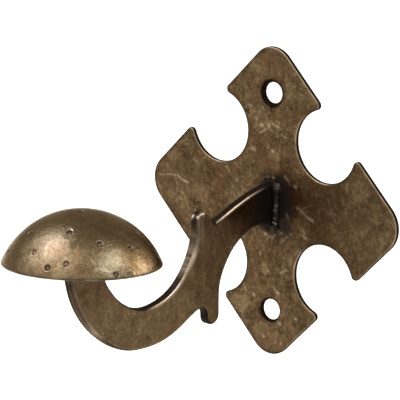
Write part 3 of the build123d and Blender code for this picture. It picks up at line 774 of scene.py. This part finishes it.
# each punch mark: a dark ring, partly oxide in the hollow and partly painted shade, deepest on its upper-left side, and
# a painted highlight on the lower-right part of its lip
for n, (a, p) in enumerate(MARKS):
    a, p = math.radians(a), math.radians(p)
    c = CAP_CENTRE + CAP_R * (math.sin(p) * (math.cos(a) * lat0 + math.sin(a) * lat1) + math.cos(p) * CAP_AXIS)
    d = np.linalg.norm(co - c, axis=1)
    near = d < 2.2
    dd = d[near]
    ring = np.exp(-((dd - 0.62) / 0.22) ** 2)
    floor = 1 - step01(dd, 0.46, 0.86)
    deep = MARK_DEPTH[n % len(MARK_DEPTH)]
    push[near] += outer[near] * deep * (-0.25 * floor - 0.13 * ring + 0.012 * np.exp(-((dd - 1.04) / 0.20) ** 2))
    side = ((co[near] - c) @ np.array([-0.50, 0.0, 0.60])) / np.maximum(dd, 0.15)
    pit[near] = np.maximum(pit[near], outer[near] * min(deep, 1.0) * (ring * (0.72 + 0.28 * np.clip(side, -1, 1)) + 0.30 * floor))
    lip[near] = np.maximum(lip[near], outer[near] * np.exp(-((dd - 0.94) / 0.14) ** 2) * (0.45 - 0.45 * np.clip(side, -1, 1)))
# burrs raised beside one of the punch marks, with painted glints on them
a, p = math.radians(MARKS[3][0]), math.radians(MARKS[3][1])
c = CAP_CENTRE + CAP_R * (math.sin(p) * (math.cos(a) * lat0 + math.sin(a) * lat1) + math.cos(p) * CAP_AXIS)
across = np.array([0.7465, 0.6653, 0.0])
uphill = np.cross(across, c - CAP_CENTRE)
uphill /= -np.linalg.norm(uphill)
burr = np.zeros(len(co))
for dx, dy, r, g in ((0.15, 1.55, 0.26, 1.0), (0.75, 1.0, 0.30, 1.0), (0.55, 2.1, 0.22, 0.7), (-0.45, 1.2, 0.22, 0.8), (0.9, -0.5, 0.24, 0.6)):
    burr = np.maximum(burr, outer * g * np.exp(-(np.linalg.norm(co - (c + dx * across + dy * uphill), axis=1) / r) ** 2))
push += 0.07 * burr
write(cap, co + no * push[:, None])
# a faint pale line along the rim edge, partly wear and partly a painted highlight
rim_wear_and_sheen = np.exp(-((height - CAP_DROP - 0.62) / 0.28) ** 2) * step01(dist, CAP_R - 1.0, CAP_R - 0.5)
attribute(cap, "wear_and_highlight", np.clip(0.10 * rim_wear_and_sheen * (0.7 + 0.3 * vnoise(co, 1.5, 55)) + 0.18 * lip + 0.9 * burr, 0, 1))
attribute(cap, "soot", np.clip(0.8 * step01(dist, CAP_R - 0.8, CAP_R - 1.0) * step01(np.linalg.norm(co - np.array([0, -77.6, 10.5]), axis=1) + vnoise(co, 3.0, 57), 12.0, 6.0), 0, 1))
# a darker band along the lowest part of the rim
rim_dark = step01(height, CAP_DROP + 1.15, CAP_DROP + 0.30) * np.clip(0.74 + 0.45 * vnoise(co, 2.4, 56), 0, 1)
attribute(cap, "dirt_and_painted_shade", np.clip(np.maximum(0.95 * pit, 0.80 * rim_dark), 0, 1))
around = np.arctan2(rel @ lat1, rel @ lat0)
polar = np.arccos(np.clip(height / np.maximum(dist, 1e-6), -1, 1))
sweep = np.column_stack([np.cos(around) * 9.0, np.sin(around) * 9.0, polar * 7.0])
streaks = 0.6 * fbm(sweep, 1.5, 58, 3) + 0.6 * fbm(co, 5.0, 59, 3)
attribute(cap, "scorch", np.clip(step01(streaks, -0.05, 0.55) * 0.9, 0, 1))
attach(cap, "root"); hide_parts("dome_cap")


# ------------------------------------------------------------------ weld beads
def blob(c, r, axes, subdiv=2):
    """One solidified drop of weld metal, as points and triangles."""
    bm = bmesh.new()
    bmesh.ops.create_icosphere(bm, subdivisions=subdiv, radius=1.0)
    v = np.array([q.co for q in bm.verts])
    f = np.array([[q.index for q in t.verts] for t in bm.faces])
    bm.free()
    x, y, z = axes
    return np.array(c) + r[0] * v[:, :1] * x + r[1] * v[:, 1:2] * y + r[2] * v[:, 2:3] * z, f


def fuse(name, parts, voxel, material, smooth=2):
    verts, faces, n = [], [], 0
    for v, f in parts:
        verts.append(v)
        faces.append(f + n)
        n += len(v)
    ob = make(name, np.concatenate(verts), np.concatenate(faces), material)
    mod = ob.modifiers.new("fuse", "REMESH")
    mod.mode = "VOXEL"
    mod.voxel_size = voxel * 0.001
    mod.use_smooth_shade = True
    sm = ob.modifiers.new("settle", "SMOOTH")
    sm.factor, sm.iterations = 0.5, smooth
    dg = bpy.context.evaluated_depsgraph_get()
    me = bpy.data.meshes.new_from_object(ob.evaluated_get(dg))
    ob.modifiers.clear()
    ob.data = me
    for p in me.polygons:
        p.use_smooth = True
    if not me.materials:
        me.materials.append(material)
    return ob


def bead_path(half_w, z0, z1, r, step):
    """Rounded rectangle in (x, z) around the bar's root."""
    pts = []
    pts += straight((half_w, z0 + r), (half_w, z1 - r), step)
    pts += [np.array(q) for q in arc(half_w - r, z1 - r, r, 0, math.pi / 2, step)]
    pts += straight((half_w - r, z1), (-half_w + r, z1), step)
    pts += [np.array(q) for q in arc(-half_w + r, z1 - r, r, math.pi / 2, math.pi, step)]
    pts += straight((-half_w, z1 - r), (-half_w, z0 + r), step)
    pts += [np.array(q) for q in arc(-half_w + r, z0 + r, r, math.pi, 1.5 * math.pi, step)]
    pts += straight((-half_w + r, z0), (half_w - r, z0), step)
    pts += [np.array(q) for q in arc(half_w - r, z0 + r, r, 1.5 * math.pi, 2 * math.pi, step)]
    return np.array(pts)


X, Y, Z = np.eye(3)
parts = []
path = bead_path(2.05, -7.5, 6.3, 0.6, 0.60)
for k, (x, z) in enumerate(path):
    g = rng.uniform(0.84, 1.16)
    c = np.array([x + rng.uniform(-0.16, 0.16), -1.42 + rng.uniform(-0.08, 0.14), z + rng.uniform(-0.2, 0.2)])
    if z < -7.0:
        g, c[2] = 0.42 * g, c[2] + 0.55
    elif z > 5.7 and abs(x) < 1.9:
        g *= 0.62
    elif z < -4.5:
        g *= 0.90
    parts.append(blob(c, (1.24 * g, 1.00 * g, 0.92 * g), (X, Y, Z)))
for c, r in (((2.95, -1.30, 5.35), (1.05, 0.72, 1.0)), ((2.6, -1.35, 4.2), (0.9, 0.8, 0.9)), ((2.35, -2.0, -3.8), (0.26,) * 3), ((1.85, -2.15, -5.2), (0.28,) * 3),
             ((2.65, -1.95, -5.5), (0.25,) * 3), ((2.5, -1.75, -0.2), (0.5,) * 3), ((2.5, -1.75, -1.4), (0.45,) * 3), ((1.8, -2.05, 4.6), (0.3,) * 3)):
    parts.append(blob(c, r, (X, Y, Z)))
for _ in range(30):
    k = rng.integers(len(path))
    x, z = path[k]
    s = 1 if x > 0 else -1
    parts.append(blob((x + s * rng.uniform(-0.2, 0.75), -1.42 - rng.uniform(0.0, 0.45), z + rng.uniform(-0.4, 0.4)), (rng.uniform(0.2, 0.42),) * 3, (X, Y, Z)))
# spatter on the sheet
for _ in range(34):
    a, r = rng.uniform(0, 2 * math.pi), rng.uniform(3.2, 7.5)
    x, z = 2.0 + r * math.cos(a) * 0.8, -0.8 + r * math.sin(a) * 1.3
    q = rng.uniform(0.12, 0.26)
    if abs(x) > 1.9 or z > 6.4 or z < -8.4:
        parts.append(blob((x, -1.20, z), (q, q * 0.8, q), (X, Y, Z)))
weld = fuse("plate_weld_bead", parts, 0.14, weld_mat)
co, no = read(weld)
co = co + no * (0.05 * fbm(co, 0.9, 61, 2))[:, None]
# the bead sits on the sheet and never goes through it
co[:, 1] = np.minimum(co[:, 1], -1.12)
write(weld, co)
weld.data.update()
co, no = read(weld)
high = step01(-co[:, 1], 1.6, 2.3)
# painted glints: bare-metal spots on a few drops of the bead
glint = np.zeros(len(co))
for gx, gy, gz, gr, gs in ((2.35, -2.2, -3.8, 0.32, 1.0), (1.85, -2.4, -5.2, 0.32, 1.0), (2.65, -2.15, -5.5, 0.30, 1.0), (2.5, -2.1, -0.2, 0.6, 0.35),
                           (2.5, -2.1, -1.4, 0.5, 0.35), (1.8, -2.3, 4.6, 0.35, 0.6), (2.95, -1.9, 5.4, 0.8, 0.16)):
    glint = np.maximum(glint, gs * np.exp(-(np.linalg.norm(co - np.array([gx, gy, gz]), axis=1) / gr) ** 2))
attribute(weld, "wear_and_highlight", np.clip(np.maximum(glint, 0.05 * high * step01(vnoise(co, 0.8, 63), 0.2, 0.7)), 0, 1))
crown = 0.62 * np.exp(-(np.linalg.norm(co - np.array([2.95, -1.7, 5.2]), axis=1) / 1.5) ** 2)
attribute(weld, "soot", np.clip(np.maximum(0.74 + 0.36 * vnoise(co, 1.3, 64), 0.97 * step01(co[:, 2], 5.0, 5.8) * step01(co[:, 0], 2.4, 1.2)) * (1 - 0.7 * crown) * (1 - 0.9 * glint), 0, 1))
attribute(weld, "dirt_and_painted_shade", np.zeros(len(co)))
attribute(weld, "scorch", np.zeros(len(co)))
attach(weld, "root"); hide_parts("plate_weld")

parts = []
mid_y, half_y = -77.61, 6.11
path = bead_path(1.95, -half_y - 0.55, half_y + 0.55, 0.6, 0.7)
for k, (x, s) in enumerate(path):
    y = mid_y + s
    inner = CAP_R - CAP_T - 0.35
    z = CAP_CENTRE[2] + math.sqrt(inner ** 2 - (y - CAP_CENTRE[1]) ** 2 - (x - CAP_CENTRE[0]) ** 2)
    g = rng.uniform(0.86, 1.14)
    parts.append(blob((x + rng.uniform(-0.1, 0.1), y + rng.uniform(-0.1, 0.1), z), (1.0 * g, 0.82 * g, 0.85 * g), (X, Y, Z)))
capweld = fuse("cap_weld_bead", parts, 0.16, weld_mat)
co, no = read(capweld)
co = co + no * (0.04 * fbm(co, 0.9, 71, 2))[:, None]
rel = co - CAP_CENTRE
d = np.linalg.norm(rel, axis=1)
co = CAP_CENTRE + rel * (np.minimum(d, CAP_R - CAP_T + 0.06) / d)[:, None]
write(capweld, co)
co, no = read(capweld)
attribute(capweld, "wear_and_highlight", np.zeros(len(co)))
attribute(capweld, "soot", np.clip(0.6 + 0.5 * vnoise(co, 1.6, 74), 0, 1))
attribute(capweld, "dirt_and_painted_shade", np.zeros(len(co)))
attribute(capweld, "scorch", np.zeros(len(co)))
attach(capweld, "root"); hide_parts("cap_weld")

# ------------------------------------------------------------------ floor
floor_z = -0.150
fm = bpy.data.meshes.new("floor")
fm.from_pydata([(-6, -6, floor_z), (6, -6, floor_z), (6, 6, floor_z), (-6, 6, floor_z)], [], [(0, 1, 2, 3)])
t = Tree("floor_paper")
paper = t.noise(0.02, 3.0, 0.5, 0.0)
t.set("Base Color", t.mix(t.maprange(paper, 0.3, 0.7), (0.90, 0.90, 0.89), (0.93, 0.93, 0.92)))
t.set("Roughness", 0.9)
t.bsdf.inputs["Specular IOR Level"].default_value = 0.1
t.bsdf.inputs["Emission Color"].default_value = (1.0, 1.0, 1.0, 1.0)
t.bsdf.inputs["Emission Strength"].default_value = 0.50
fm.materials.append(t.mat)
floor = bpy.data.objects.new("floor", fm)
bpy.context.scene.collection.objects.link(floor)

# ------------------------------------------------------------------ camera
az_c, el_c, roll = 0.727426, 0.260779, 0.004637
back = Vector((math.sin(az_c) * math.cos(el_c), -math.cos(az_c) * math.cos(el_c), math.sin(el_c)))
fwd = -back
right = fwd.cross(Vector((0, 0, 1))).normalized()
up = right.cross(fwd)
r2 = math.cos(roll) * right + math.sin(roll) * up
u2 = -math.sin(roll) * right + math.cos(roll) * up
cam_data = bpy.data.cameras.new("camera")
cam_data.lens = 242.68
cam_data.sensor_width = 36.0
cam_data.sensor_fit = "HORIZONTAL"
cam_data.clip_start = 0.01
cam_data.clip_end = 50
cam = bpy.data.objects.new("camera", cam_data)
rot = Matrix((r2, u2, back)).transposed().to_4x4()
cam.matrix_world = Matrix.Translation((0.47610, -0.56613, 0.19778)) @ rot
bpy.context.scene.collection.objects.link(cam)
bpy.context.scene.camera = cam

# ------------------------------------------------------------------ studio light
TARGET = Vector((0.0, -0.045, 0.0))


def soft_box(name, az, el, dist, width, height, radiance, colour, target=TARGET, spread=math.pi):
    """A rectangular soft light. az from -Y towards +X, el above the floor, both in degrees."""
    a, e = math.radians(az), math.radians(el)
    d = Vector((math.sin(a) * math.cos(e), -math.cos(a) * math.cos(e), math.sin(e)))
    data = bpy.data.lights.new(name, "AREA")
    data.shape = "RECTANGLE"
    data.size, data.size_y = width, height
    data.energy = radiance * math.pi * width * height
    data.color = colour
    data.spread = spread
    ob = bpy.data.objects.new(name, data)
    ob.matrix_world = Matrix.Translation(target + d * dist) @ d.to_track_quat("Z", "Y").to_matrix().to_4x4()
    ob.visible_camera = False
    bpy.context.scene.collection.objects.link(ob)
    return ob


soft_box("key_left", -50, 58, 0.85, 0.54, 0.36, 4.1, (0.93, 1.03, 1.38))
soft_box("key_halo", -52, 50, 0.90, 0.78, 0.62, 1.5, (0.96, 0.98, 1.08))
soft_box("front_top", 2, 58, 0.95, 0.66, 0.56, 1.9, (1.0, 0.99, 0.96))
soft_box("fill_right", 100, 51, 0.85, 0.50, 0.30, 4.7, (0.85, 1.01, 1.20))
soft_box("glow_back", 131, 45, 0.85, 0.26, 0.26, 2.3, (1.0, 0.86, 0.70))
soft_box("rim_right", 147, 20, 0.85, 0.32, 0.24, 8.2, (1.0, 0.90, 0.80))

world = bpy.data.worlds.new("studio")
bpy.context.scene.world = world
world.use_nodes = True
wn = world.node_tree
wn.nodes.clear()
wo = wn.nodes.new("ShaderNodeOutputWorld")
bg = wn.nodes.new("ShaderNodeBackground")
wn.links.new(bg.outputs[0], wo.inputs[0])
tc = wn.nodes.new("ShaderNodeTexCoord")
dot = wn.nodes.new("ShaderNodeVectorMath")
dot.operation = "DOT_PRODUCT"
dot.inputs[1].default_value = (0.25, -0.95, 0.15)
wn.links.new(tc.outputs["Generated"], dot.inputs[0])
mr = wn.nodes.new("ShaderNodeMapRange")
mr.interpolation_type = "SMOOTHSTEP"
mr.inputs["From Min"].default_value = -0.35
mr.inputs["From Max"].default_value = 0.75
mr.inputs["To Min"].default_value = 0.34
mr.inputs["To Max"].default_value = 0.95
wn.links.new(dot.outputs["Value"], mr.inputs["Value"])
wn.links.new(mr.outputs["Result"], bg.inputs["Strength"])
tint = wn.nodes.new("ShaderNodeMapRange")
tint.data_type = "FLOAT_VECTOR"
for k, v in ((7, (-0.35,) * 3), (8, (0.75,) * 3), (9, (1.0, 0.90, 0.76)), (10, (1.0, 0.985, 0.955))):
    tint.inputs[k].default_value = v
wn.links.new(dot.outputs["Value"], tint.inputs[6])
wn.links.new(tint.outputs[1], bg.inputs["Color"])

vs = bpy.context.scene.view_settings
vs.view_transform = "Standard"
vs.look = "None"
vs.exposure = 0.0
vs.gamma = 1.0
